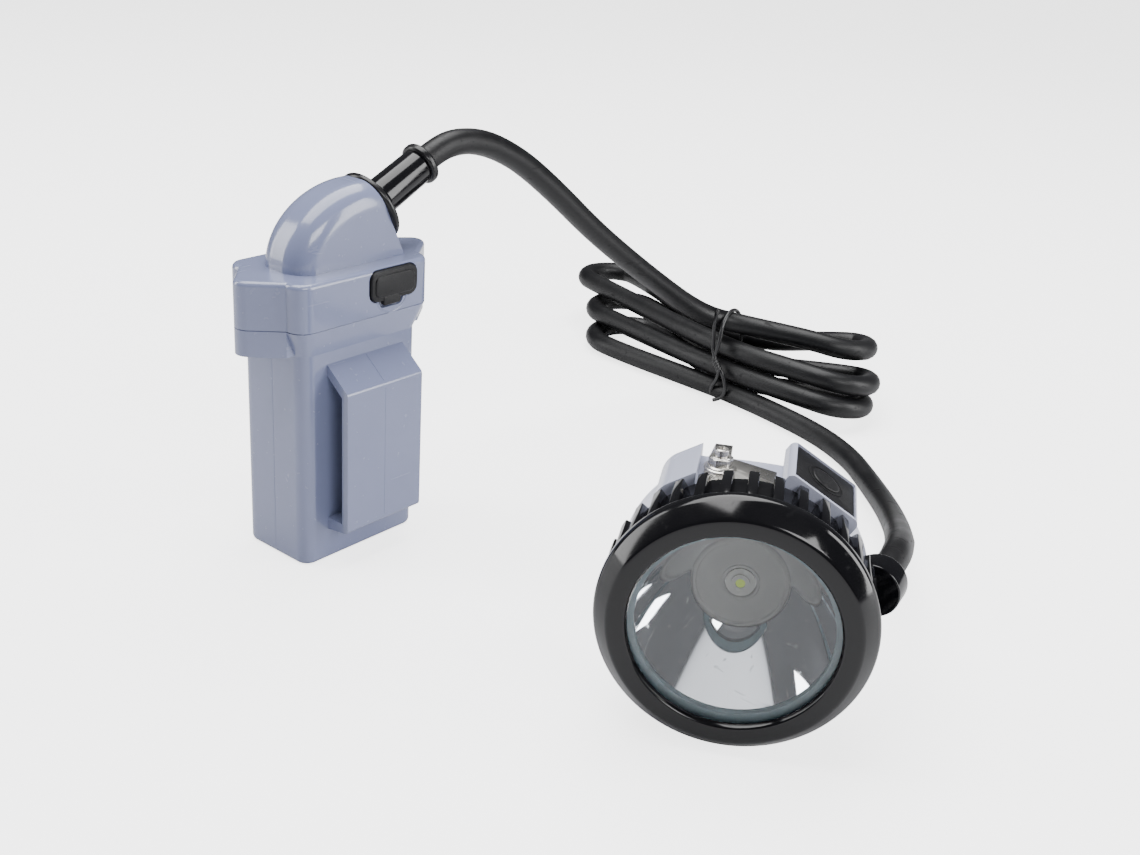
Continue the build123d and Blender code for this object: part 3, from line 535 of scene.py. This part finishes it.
case_plastic = plastic(
    "case plastic", (0.180, 0.202, 0.320), (0.14, 0.23), dust=0.015, scratches=0.12, bump=0.03, coat=0.4,
)
shell_plastic = plastic(
    "shell plastic", (0.47, 0.49, 0.61), (0.14, 0.23), dust=0.015, scratches=0.12, bump=0.03, coat=0.4,
)
black_gloss = plastic(
    "black gloss", (0.0035, 0.0035, 0.0045), (0.07, 0.14), dust=0.008, scratches=0.10, bump=0.02,
    specular=0.38,
)
black_satin = plastic(
    "black satin", (0.005, 0.005, 0.006), (0.22, 0.32), specular=0.35, dust=0.02, bump=0.12, grain=1500.0,
)
black_rubber = plastic(
    "black rubber", (0.006, 0.006, 0.007), (0.38, 0.50), specular=0.28, dust=0.02, bump=0.25, grain=1800.0,
)
seal_rubber = plastic("seal rubber", (0.17, 0.245, 0.28), (0.28, 0.42), dust=0.02, bump=0.10)
holder_plastic = plastic("holder plastic", (0.03, 0.03, 0.034), (0.35, 0.5), dust=0.02)
chip_black = plastic("chip black", (0.018, 0.018, 0.02), (0.4, 0.5), dust=0.02, grain=2600.0)
board_green = plastic("board green", (0.012, 0.11, 0.045), (0.2, 0.3), dust=0.02, bump=0.15, grain=500.0)
cell_wrap = plastic("cell sleeve", (0.02, 0.09, 0.30), (0.16, 0.26), dust=0.02)
ceramic = plastic("ceramic", (0.36, 0.36, 0.34), (0.25, 0.35), dust=0.0)
disc_grey = plastic(
    "disc grey", (0.27, 0.27, 0.265), (0.5, 0.62), dust=0.03, scratches=0.1, bump=0.18, grain=2400.0,
)
foam = plastic(
    "foam", (0.03, 0.03, 0.032), (0.85, 0.95), dust=0.0, scratches=0.0, bump=0.9, grain=1200.0,
)
tie_plastic = plastic("tie plastic", (0.010, 0.010, 0.011), (0.25, 0.35), dust=0.04)
steel = turned_metal("plated steel", (0.66, 0.64, 0.60), (0.17, 0.30), (60, 900, 900))
nickel = turned_metal("nickel strip", (0.60, 0.58, 0.54), (0.22, 0.34), (1200, 60, 1200))
aluminium = turned_metal("turned aluminium", (0.74, 0.74, 0.75), (0.25, 0.38), (900, 900, 60))
print("plastics, rubbers and metals made")

# %% [markdown]
# The optics need finishes of their own. The reflector is a mirror with a hint
# of haze, the lens is plain glass, and the phosphor glows very faintly by
# itself, so that it stays yellow-green in the shade of the reflector.

# %% Optical finishes
chrome = turned_metal(
    "vacuum chrome", (0.86, 0.87, 0.89), (0.02, 0.045), (50, 50, 50), bump=0.012, dust=0.0,
)

lens_glass = bpy.data.materials.new("lens glass")
lens_glass.use_nodes = True
glass = lens_glass.node_tree.nodes["Principled BSDF"]
glass.inputs["Base Color"].default_value = (0.985, 0.995, 1.0, 1)
glass.inputs["Roughness"].default_value = 0.0
glass.inputs["Transmission Weight"].default_value = 1.0
glass.inputs["IOR"].default_value = 1.38

phosphor = plastic("phosphor", (0.42, 0.58, 0.05), (0.35, 0.5), dust=0.0, bump=0.2)
glow = phosphor.node_tree.nodes["Principled BSDF"]
glow.inputs["Emission Color"].default_value = (0.55, 0.65, 0.10, 1)
glow.inputs["Emission Strength"].default_value = 0.12
print("optical finishes made")

# %% [markdown]
# The cord's sheath is satin rubber with very fine lines along it, left by
# the extruder, and it carries a printed marking. Only the rhythm of such a
# marking is drawn: small pale bars of uneven length that say nothing. Both
# follow the cord, so they read the curve's own UV map, where U runs along.

# %% Cord sheath
sheath = {
    "colour": (0.0040, 0.0040, 0.0048), "gloss": (0.36, 0.48), "specular": 0.30, "dust": 0.012,
    "bump": 0.2, "grain": 1600.0,
}
cord_rubber = plastic("cord rubber", **sheath)
tree = cord_rubber.node_tree
along = node(tree, "ShaderNodeSeparateXYZ", {0: node(tree, "ShaderNodeUVMap").outputs["UV"]})
metres = math(tree, "MULTIPLY", along.outputs["X"], cord_length)
round_way = along.outputs["Y"]


def band(value, low, high, soft):
    """1 between low and high, with soft edges."""
    rise = remap(tree, value, low - soft, low)
    fall = remap(tree, value, high, high + soft, 1.0, 0.0)
    return math(tree, "MULTIPLY", rise, fall)


# One bar for every 4.2 mm of cord, broken into flecks of 0.7 mm as worn print is
bar_length, fleck_length = 0.0042, 0.0007
cell = math(tree, "MULTIPLY", metres, 1 / bar_length)
whole = math(tree, "FLOOR", cell, 0.0)
share = math(tree, "SUBTRACT", cell, whole)
chance = node(tree, "ShaderNodeTexWhiteNoise", {"W": whole}, noise_dimensions="1D").outputs["Value"]
bar = math(tree, "MULTIPLY", band(share, 0.18, 0.62, 0.06), remap(tree, chance, 0.22, 0.30))
stripe = band(round_way, 0.700, 0.745, 0.004)
fine = math(tree, "FLOOR", math(tree, "MULTIPLY", metres, 1 / fleck_length), 0.0)
waves = node(tree, "ShaderNodeTexWhiteNoise", {"W": fine}, noise_dimensions="1D").outputs["Value"]
broken = math(tree, "MULTIPLY", remap(tree, waves, 0.25, 0.35), math(tree, "MULTIPLY", bar, stripe))
printed = math(tree, "MULTIPLY", broken, 0.35)
shader = tree.nodes["Principled BSDF"]
base = shader.inputs["Base Color"].links[0].from_socket
marked = node(tree, "ShaderNodeMix", {"A": base, "Factor": printed}, data_type="RGBA")
marked.inputs["B"].default_value = (0.30, 0.31, 0.38, 1)
tree.links.new(marked.outputs["Result"], shader.inputs["Base Color"])
cord.data.materials.append(cord_rubber)
tie.data.materials.append(tie_plastic)
print("cord sheath with a generic printed rhythm")

# %% [markdown]
# The parts whose shape is right already only get a finish. The record names
# a material slot for every part, so one table from slot to material is all
# that is needed.

# %% Finishes of the mechanical parts
finishes = {
    "case_plastic": case_plastic, "shell_plastic": shell_plastic, "black_gloss": black_gloss,
    "black_satin": black_satin, "black_rubber": black_rubber, "cord_rubber": cord_rubber,
    "seal_rubber": seal_rubber, "steel": steel, "nickel": nickel, "chrome": chrome,
    "aluminium": aluminium, "disc_grey": disc_grey, "lens_glass": lens_glass, "ceramic": ceramic,
    "phosphor": phosphor, "board_green": board_green, "chip_black": chip_black, "cell_wrap": cell_wrap,
    "holder_plastic": holder_plastic, "foam": foam, "tie_wire": tie_plastic,
}
plain_cord = plastic("cord end rubber", **sheath)
for part in frame["record"]["subparts"]:
    slot = part["material_slot"]
    finish = plain_cord if slot == "cord_rubber" else finishes[slot]
    solid = frame["nodes"][part["node"]]
    solid.data.materials.clear()
    solid.data.materials.append(finish)

# %% [markdown]
# ## The lamp head's finer pieces
#
# Turned pieces are all made the same way: half of the section is drawn as a
# line of (radius, depth) points and spun round the axis. The section has one
# more point for every small round on an edge, since a real edge always
# catches a line of light.

# %% Making turned pieces
def finish_piece(name, work, material, place, smooth=32, body="lamp"):
    """Turn a bmesh into an object: placed, smoothed and given its finish."""
    bmesh.ops.recalc_face_normals(work, faces=work.faces[:])
    data = bpy.data.meshes.new(name)
    work.to_mesh(data)
    work.free()
    data.transform(place)
    for polygon in data.polygons:
        polygon.use_smooth = True
    data.set_sharp_from_angle(angle=radians(smooth))
    data.materials.append(material)
    piece = bpy.data.objects.new(name, data)
    bpy.context.scene.collection.objects.link(piece)
    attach(piece, body)
    return piece


def rounded(section, radius, steps=3, closed=True):
    """The same section with each marked corner replaced by a small arc."""
    points = []
    count = len(section)
    for index, corner in enumerate(section):
        x, y = corner[:2]
        size = corner[2] if len(corner) > 2 else radius
        if size == 0 or (not closed and index in (0, count - 1)):
            points.append((x, y))
            continue
        here = Vector((x, y))
        before = Vector(section[index - 1][:2]) - here
        after = Vector(section[(index + 1) % count][:2]) - here
        size = min(size, 0.45 * before.length, 0.45 * after.length)
        start, end = here + before.normalized() * size, here + after.normalized() * size
        for step in range(steps + 1):
            t = step / steps
            points.append(tuple(start * (1 - t) ** 2 + here * 2 * t * (1 - t) + end * t * t))
    return points


def turned(section, closed=True, steps=96, work=None):
    """Spin (radius, depth) points in millimetres round Z; depth runs back, along -Z."""
    work = work or bmesh.new()
    points = [work.verts.new((r * MM, 0, -depth * MM)) for r, depth in section]
    pairs = list(zip(points, points[1:])) + ([(points[-1], points[0])] if closed else [])
    edges = [work.edges.new(pair) for pair in pairs]
    bmesh.ops.spin(work, geom=points + edges, cent=(0, 0, 0), axis=(0, 0, 1), angle=2 * pi, steps=steps,
                   use_merge=True)
    bmesh.ops.remove_doubles(work, verts=work.verts[:], dist=1e-7)
    return work


# %% [markdown]
# The bezel is the piece that the eye goes to. Its section has the flat front,
# the wide bevel and a band with a soft edge. The ribs behind the band are
# blocks with bevelled edges, sunk a little into the barrel.

# %% Bezel
bezel_section = rounded([
    (28.2, 1.3, 0.25), (28.9, 0.0, 0.5), (33.6, 0.0, 0.9), (37.6, 4.5, 0.9), (38.1, 5.6, 0.6),
    (38.1, 7.4, 0.4), (37.6, 7.9, 0.2), (34.9, 8.0, 0.2), (34.9, 19.6, 0.0), (34.9, 22.7, 0.15),
    (32.4, 22.7, 0.1), (32.4, 7.4, 0.1), (30.7, 7.4, 0.1), (30.7, 1.8, 0.1), (28.2, 1.8, 0.1),
], 0.3)
rib_count = 34
rib_pitch = 2 * pi / rib_count
work = turned(bezel_section, steps=4 * rib_count)


def block(work, size, place, bevel, segments=2):
    """A block with rounded edges: size in millimetres, put where place says."""
    stretch = Matrix.Diagonal((*(side * MM for side in size), 1))
    made = bmesh.ops.create_cube(work, size=1.0, matrix=place @ stretch)
    edges = {edge for vertex in made["verts"] for edge in vertex.link_edges}
    bmesh.ops.bevel(
        work, geom=list(edges), offset=bevel * MM, segments=segments, profile=0.5, affect="EDGES", material=-1,
    )


for index in range(rib_count):
    turn = Matrix.Rotation(pi / 2 + index * rib_pitch, 4, "Z")
    block(work, (3.6, 2.9, 14.9), turn @ Matrix.Translation(Vector((35.75, 0, -15.2)) * MM), 0.45)
bezel = finish_piece("bezel_turned", work, black_gloss, HEAD, smooth=30, body="bezel_ring")
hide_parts("bezel")
print("bezel with", len(bezel.data.polygons), "faces")

# %% [markdown]
# The optics are turned too. The reflector is a paraboloid: its squared radius
# grows in step with its depth. The grey disc has a raised rim and a ring
# round the emitter, and the lens is a flat pane with small chamfers.

# %% Optics
mouth_r, base_r, mouth_w, base_w = 26.6, 12.9, 7.7, 27.0
bowl = []
for step in range(33):
    share = step / 32
    radius = (base_r**2 + (mouth_r**2 - base_r**2) * (1 - share)) ** 0.5
    bowl.append((radius, mouth_w + (base_w - mouth_w) * share))
shell_side = [(r + 1.0, w + 0.3) for r, w in reversed(bowl[2:])]
reflector_section = bowl + [(base_r, base_w + 0.9), (base_r + 1.1, base_w + 0.9)] + shell_side + [
    (mouth_r + 1.3, mouth_w + 1.3), (31.5, mouth_w + 1.3), (31.5, mouth_w + 0.1),
    (mouth_r + 0.5, mouth_w + 0.05),
]
reflector = finish_piece("reflector_bowl", turned(reflector_section, steps=128), chrome, HEAD, smooth=40)
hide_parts("reflector")

disc_section = rounded([
    (12.8, 27.9, 0.1), (12.8, 27.3, 0.15), (12.2, 27.0, 0.15), (11.7, 27.0, 0.15), (11.4, 27.4, 0.15),
    (5.1, 27.4, 0.1), (4.9, 27.05, 0.1), (4.4, 27.05, 0.1), (4.1, 27.4, 0.1), (4.0, 27.9, 0.05),
], 0.1, steps=2)
disc = finish_piece("led_disc_turned", turned(disc_section, steps=96), disc_grey, HEAD, smooth=40)
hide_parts("led_disc")

pane_section = rounded(
    [(0, 1.85, 0), (30.6, 1.85, 0.35), (30.6, 4.85, 0.35), (0, 4.85, 0)], 0.3, closed=False,
)
work = turned(pane_section, closed=False, steps=128)
pane = finish_piece("lens_pane", work, lens_glass, HEAD, body="lens_stack")
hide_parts("lens")
print("reflector, disc and lens")

# %% [markdown]
# The switch is a rubber pad on the right shoulder, with the button in its
# middle. Its edges are rounded over, and a low ring moulded round the button
# stands in for the mark that such pads carry.

# %% Switch pad and button
def flat_piece(work, outline, low, high, bevel, segments=2):
    """A plate from an outline in millimetres, rounded on its upper edge."""
    corners = [work.verts.new((x * MM, y * MM, low * MM)) for x, y in outline]
    face = work.faces.new(corners)
    grown = bmesh.ops.extrude_face_region(work, geom=[face])
    lifted = [item for item in grown["geom"] if isinstance(item, bmesh.types.BMVert)]
    for vertex in lifted:
        vertex.co.z = high * MM
    if bevel:
        rim = [edge for edge in work.edges if all(vertex in lifted for vertex in edge.verts)]
        bmesh.ops.bevel(
            work, geom=rim, offset=bevel * MM, segments=segments, profile=0.5, affect="EDGES", material=-1,
        )


def round_box(width, height, radius, steps=4):
    """The outline of a rounded rectangle, anticlockwise."""
    points = []
    for index, (sx, sy) in enumerate(((1, 1), (-1, 1), (-1, -1), (1, -1))):
        for step in range(steps + 1):
            angle = pi / 2 * (index + step / steps)
            x = sx * (width / 2 - radius) + radius * cos(angle)
            y = sy * (height / 2 - radius) + radius * sin(angle)
            points.append((x, y))
    return points


pad_turn = radians(31.2)
pad_way = across * sin(pad_turn) + up * cos(pad_turn)
pad_side = across * cos(pad_turn) - up * sin(pad_turn)
PAD = matrix_from(head_centre + pad_way * 37.1 * MM - forward * 35 * MM, pad_side, pad_way)

work = bmesh.new()
flat_piece(work, round_box(20.0, 20.8, 1.4), -1.8, -0.02, 0.45, 3)
mark_ring = rounded([(5.9, 0.05), (5.9, -0.18), (5.5, -0.18), (5.5, 0.05)], 0.1, steps=2)
turned(mark_ring, steps=64, work=work)
pad = finish_piece("switch_pad_moulded", work, black_rubber, PAD, smooth=40)
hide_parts("switch_pad")

button_section = rounded([
    (0, 3.2, 0), (4.5, 3.2, 0.2), (4.5, -0.45, 0.5), (3.5, -0.6, 0.3), (0, -0.5, 0),
], 0.3, closed=False, steps=4)
work = turned(button_section, closed=False, steps=64)
button = finish_piece("switch_button_moulded", work, black_rubber, PAD, smooth=40, body="button")
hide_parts("switch_button")
print("switch pad and button")

# %% [markdown]
# The hook is held down by a flange nut, and the bolt's end stands above it
# with a slot in it. All three are small, but their bevels are what makes them
# look like steel.

# %% Nut, washer and bolt
BOLT = matrix_from(head_point(-9.8 * MM, 29.0 * MM, 37.0 * MM), across, up)
washer_section = rounded([(2.1, -1.4), (2.1, -2.1), (3.9, -2.15), (4.6, -1.9), (4.6, -1.4)], 0.12, steps=2)
washer = finish_piece("hook_washer_turned", turned(washer_section, steps=64), steel, BOLT)
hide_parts("hook_washer")

work = bmesh.new()
hexagon = [(3.6 * cos(radians(a)), 3.6 * sin(radians(a))) for a in range(10, 370, 60)]
flat_piece(work, hexagon, 2.2, 5.1, 0.0)
bmesh.ops.bevel(
    work, geom=work.edges[:], offset=0.45 * MM, segments=3, profile=0.5, affect="EDGES", material=-1,
)
nut_flange = rounded([(2.0, -2.1), (2.0, -2.75), (3.6, -2.75), (4.1, -2.3), (4.1, -2.1)], 0.2)
nut_crown = rounded([(1.9, -4.9), (1.9, -5.3), (2.7, -5.3), (2.9, -5.0)], 0.1, steps=2)
turned(nut_flange, steps=48, work=work)
turned(nut_crown, steps=48, work=work)
nut = finish_piece("hook_nut_bevelled", work, steel, BOLT)
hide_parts("hook_nut")

bolt_section = [(0, 10.6, 0), (3.3, 10.6, 0.3), (3.3, 8.8, 0.1), (1.95, 8.8, 0.05)]
for step in range(16):
    depth = 6.4 - step * 0.5
    bolt_section += [(1.95, depth, 0), (1.8, depth - 0.25, 0)]
bolt_section += [(1.95, -7.2, 0.1), (1.6, -7.5, 0.1), (0.95, -7.55, 0.05), (0.85, -6.3, 0.05), (0, -6.3, 0)]
bolt_section = rounded(bolt_section, 0.1, closed=False, steps=2)
bolt = finish_piece("hook_bolt_turned", turned(bolt_section, closed=False, steps=48), steel, BOLT)
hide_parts("hook_bolt")
print("nut, washer and bolt")

# %% [markdown]
# The hook itself is one bent strip: flat in the channel, narrow where it
# leaves the nut, and turned down behind the shell into a tongue.

# %% Hook plate
PLATE = matrix_from(head_point(0, 29.0 * MM, 0), across, up)
work = bmesh.new()
strip = [
    (-14.0, 25.0), (6.0, 25.0), (6.0, 39.6), (-7.4, 45.2), (-7.4, 54.0), (-12.4, 54.0), (-12.4, 43.5),
    (-14.0, 40.5),
]
flat_piece(work, strip, 0.0, 1.4, 0.3)
TONGUE = PLATE.inverted() @ matrix_from(head_point(0, 0, 54.0 * MM), across, -forward)
flat_tongue = bmesh.new()
tongue = [
    (-12.4, -30.4), (-7.4, -30.4), (-7.4, -23.0), (4.0, -16.0), (4.0, -6.0), (2.0, -2.0), (-12.7, -2.0),
    (-14.6, -6.0), (-14.6, -24.0),
]
flat_piece(flat_tongue, tongue, -1.4, 0.0, 0.3)
bent = bpy.data.meshes.new("tongue")
bmesh.ops.transform(flat_tongue, matrix=TONGUE, verts=flat_tongue.verts[:])
flat_tongue.to_mesh(bent)
flat_tongue.free()
work.from_mesh(bent)
bpy.data.meshes.remove(bent)
hook = finish_piece("hook_plate_bent", work, steel, PLATE)
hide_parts("hook_plate")
print("hook plate")

# %% [markdown]
# A black rubber boot on the flank of the shell holds the cord where it
# enters the head. Its rim is rolled over towards the cord.

# %% Boot of the lamp head
GROMMET = matrix_from(grommet_place, up, grommet_way)
cap = rounded([
    (0, 7.6, 0), (7.75, 7.6, 0.45), (7.75, -0.3, 0.5), (7.1, -1.15, 0.6), (4.6, -1.2, 0.3), (4.5, 3.0, 0),
    (0, 3.0, 0),
], 0.35, closed=False, steps=4)
grommet = finish_piece("grommet_boot", turned(cap, closed=False, steps=72), black_gloss, GROMMET)
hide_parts("cord_grommet")

# %% [markdown]
# ## The battery's cable gland and port
#
# The gland is a flange on the dome, a glossy tapering sleeve with a collar at
# its foot, and a rolled ring at its end. The plug of the charging port is a
# rubber lid with a lip all round and a tab to pull it by.

# %% Gland
flange_section = rounded([
    (4.8, 2.4), (11.6, 2.4, 0.2), (12.4, 1.8, 0.5), (12.4, 0.5, 0.4), (11.7, 0.0, 0.3), (4.8, 0.0),
], 0.2)
flange = finish_piece("gland_flange_turned", turned(flange_section, steps=96), black_satin, GLAND)
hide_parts("gland_flange")

sleeve_section = rounded([
    (4.65, 0.02), (7.4, 0.02, 0.2), (7.4, -2.2, 0.5), (6.75, -2.8, 0.4), (6.3, -3.4, 0.3),
    (6.05, -22.6, 0.1), (4.65, -22.6),
], 0.2)
sleeve = finish_piece("gland_sleeve_turned", turned(sleeve_section, steps=96), black_gloss, GLAND)
ring_section = rounded([
    (4.65, -22.6), (6.6, -22.6, 0.3), (7.25, -23.2, 0.6), (7.25, -25.0, 0.7), (6.5, -25.7, 0.5),
    (4.65, -25.8),
], 0.2)
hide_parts("gland_sleeve")
ring = finish_piece("gland_ring_turned", turned(ring_section, steps=96), black_satin, GLAND)
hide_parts("gland_ring")
print("gland flange, sleeve and ring")

# %% Port plug
front_wall = -35.6 / 2
PORT = matrix_from(Vector((10.6, front_wall, 92.0)) * MM, Vector((1, 0, 0)), Vector((0, -1, 0)))
work = bmesh.new()
flat_piece(work, round_box(20.0, 10.0, 3.0, steps=6), -0.8, 0.9, 0.45, 3)
flat_piece(work, round_box(17.0, 7.2, 2.2, steps=6), 0.5, 1.3, 0.35, 3)
tab = round_box(7.5, 3.2, 0.9, steps=4)
flat_piece(work, [(x - 1.2, y - 5.0) for x, y in tab], -0.5, 1.05, 0.4, 3)
flat_piece(work, round_box(11.6, 5.6, 1.8), -4.6, -0.5, 0.0)
plug = finish_piece("port_plug_moulded", work, black_rubber, PORT, smooth=40, body="plug")
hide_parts("port_plug")
print("port plug")

# %% [markdown]
# The case is moulded in a split tool, which leaves a fine raised line where
# its halves meet: down the middle of the end face and of the belt loop. They
# are the only thing that breaks up those wide flat faces. A shallow finger
# scoop below the port's tab is drawn by its rim.

# %% Mould seams and finger scoop
def seam(work, start, end, width, normal):
    """A low bead from start to end in millimetres, lying on a face with this normal."""
    start, end = Vector(start), Vector(end)
    place = matrix_from((start + end) / 2 * MM, (end - start).normalized(), Vector(normal))
    block(work, ((end - start).length, width, 0.16), place, 0.05, segments=1)


work = bmesh.new()
seam(work, (-24.7, 0, 2.4), (-24.7, 0, 73.2), 0.32, (-1, 0, 0))
seam(work, (24.7, 0, 2.4), (24.7, 0, 73.2), 0.32, (1, 0, 0))
seam(work, (1.2, -24.9, 14.6), (1.2, -24.9, 60.6), 0.30, (0, -1, 0))
seam(work, (1.2, -24.2, 62.5), (1.2, -15.5, 69.4), 0.30, (0, -0.62, 0.78))
seams = finish_piece("mould_seams", work, case_plastic, Matrix.Identity(4))

scoop_ring = rounded([(7.3, 0.2), (7.3, -0.1), (7.0, -0.16), (6.7, -0.1), (6.7, 0.2)], 0.08, steps=2)
scoop_place = PORT @ Matrix.Translation(Vector((-0.4, -2.6, 0)) * MM)
scoop = finish_piece("finger_scoop_rim", turned(scoop_ring, steps=72), case_plastic, scoop_place)
print("mould seams and finger scoop")
